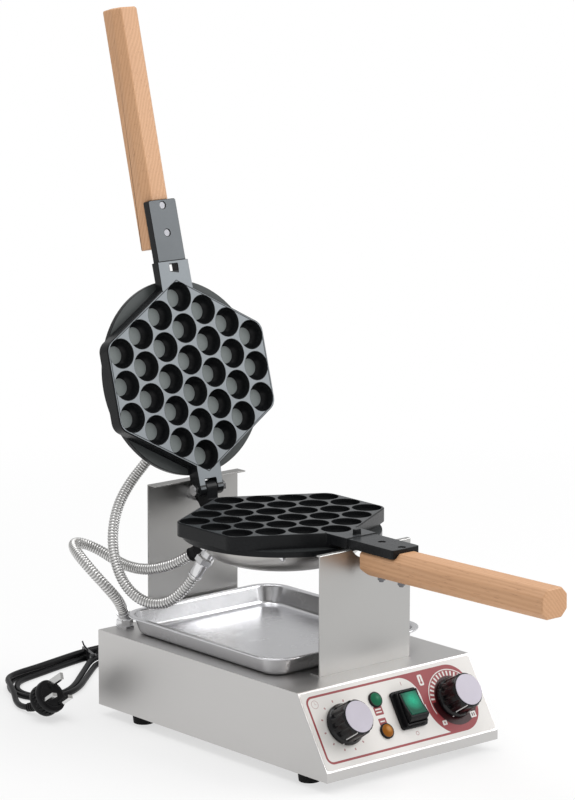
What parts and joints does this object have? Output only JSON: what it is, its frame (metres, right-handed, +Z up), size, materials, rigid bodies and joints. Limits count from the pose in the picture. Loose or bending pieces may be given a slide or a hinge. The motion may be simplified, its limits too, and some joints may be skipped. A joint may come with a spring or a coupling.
{
  "type": "bubble waffle maker",
  "caption": "Counter-top bubble waffle maker: two hinged cast moulds with round cavities that turn over between stands on a slant-front steel base, with wooden handles, drip tray and lead.",
  "frame": {"origin": "on the counter, under the middle of the base housing", "axes": "+Z up, -Y to the front panel and the lower handle, +X to the right seen from the front"},
  "size_m": [0.3256, 0.7998, 0.7895],
  "materials": {
    "housing_steel": "brushed stainless steel",
    "stand_steel": "brushed stainless steel sheet",
    "tray_steel": "pressed stainless steel, satin",
    "coated_casting": "cast aluminium with a black non-stick coat",
    "cover_steel": "spun stainless steel, polished",
    "bright_fastener": "plated steel",
    "ground_steel": "turned steel",
    "conduit_steel": "corrugated stainless steel",
    "element_steel": "heat-dulled steel tube",
    "mineral_wool": "matted mineral fibre",
    "beech": "sanded beech",
    "printed_label": "printed film, off-white with a dark red frame",
    "knob_black": "black thermoset",
    "knob_cap": "pale printed disc",
    "black_plastic": "black moulded plastic",
    "green_lens": "clear green plastic",
    "amber_lens": "clear amber plastic",
    "terminal_white": "moulded white",
    "foot_rubber": "black rubber",
    "cord_pvc": "black flexible sheath",
    "plug_brass": "bare brass"
  },
  "bodies": {
    "base": {"housing_shell": "housing_steel", "base_plate": "housing_steel", "base_plate_screws": "bright_fastener", "rubber_feet": "foot_rubber", "foot_screws": "bright_fastener", "control_panel": "printed_label", "timer_body": "black_plastic", "thermostat_body": "black_plastic", "control_nuts": "bright_fastener", "lamp_housings": "black_plastic", "green_lamp_lens": "green_lens", "amber_lamp_lens": "amber_lens", "rocker_housing": "black_plastic", "terminal_block": "terminal_white", "front_stand": "stand_steel", "rear_stand": "stand_steel", "stand_screws": "bright_fastener", "stand_nuts": "bright_fastener", "pivot_bush": "ground_steel", "conduit_lower": "conduit_steel", "base_conduit_gland": "ground_steel", "cable_gland": "black_plastic", "cable_gland_nut": "black_plastic", "power_cord": "cord_pvc", "plug_tail": "cord_pvc", "cord_hank": "cord_pvc", "cord_tie": "cord_pvc", "plug_body": "cord_pvc", "plug_pins": "plug_brass"},
    "head": {"lower_mould": "coated_casting", "lower_heating_element": "element_steel", "lower_insulation": "mineral_wool", "lower_heater_cover": "cover_steel", "lower_cover_nuts": "bright_fastener", "lower_handle": "beech", "lower_handle_bolts": "bright_fastener", "lower_conduit_fittings": "ground_steel", "thermostat_bulb": "element_steel", "pivot_shaft": "ground_steel", "pivot_nut": "bright_fastener", "hinge_pin": "ground_steel", "hinge_nuts": "bright_fastener", "conduit_upper": "conduit_steel"},
    "lid": {"upper_mould": "coated_casting", "upper_heating_element": "element_steel", "upper_insulation": "mineral_wool", "upper_heater_cover": "cover_steel", "upper_cover_nuts": "bright_fastener", "upper_handle": "beech", "upper_handle_bolts": "bright_fastener", "upper_conduit_fittings": "ground_steel"},
    "tray": {"drip_tray": "tray_steel"},
    "timer_dial": {"timer_shaft": "ground_steel", "timer_knob": "knob_black", "timer_knob_cap": "knob_cap"},
    "thermostat_dial": {"thermostat_shaft": "ground_steel", "thermostat_knob": "knob_black", "thermostat_knob_cap": "knob_cap"},
    "rocker": {"rocker_button": "black_plastic", "rocker_lens": "green_lens"}
  },
  "joints": [
    {"name": "lid_hinge", "type": "hinge", "parent": "head", "child": "lid", "pos_m": [0, 0.1519, 0.2534], "axis": [1, 0, 0], "range_deg": [0, 105.35], "deforming": ["conduit_upper"]},
    {"name": "head_flip", "type": "hinge", "parent": "base", "child": "head", "pos_m": [0, 0.17, 0.2453], "axis": [0, 1, 0], "range_deg": [-12, 12], "deforming": ["conduit_lower", "conduit_upper"]},
    {"name": "tray_slide", "type": "slide", "parent": "base", "child": "tray", "axis": [1, 0, 0], "range_m": [0, 0.26]},
    {"name": "timer_turn", "type": "hinge", "parent": "base", "child": "timer_dial", "pos_m": [-0.08, -0.17141, 0.06177], "axis": [0, 0.8488, -0.5287], "range_deg": [0, 300]},
    {"name": "thermostat_turn", "type": "hinge", "parent": "base", "child": "thermostat_dial", "pos_m": [0.08, -0.17141, 0.06177], "axis": [0, 0.8488, -0.5287], "range_deg": [0, 270]},
    {"name": "rocker_press", "type": "hinge", "parent": "base", "child": "rocker", "pos_m": [0.012, -0.176, 0.06462], "axis": [1, 0, 0], "range_deg": [0, 26]}
  ]
}
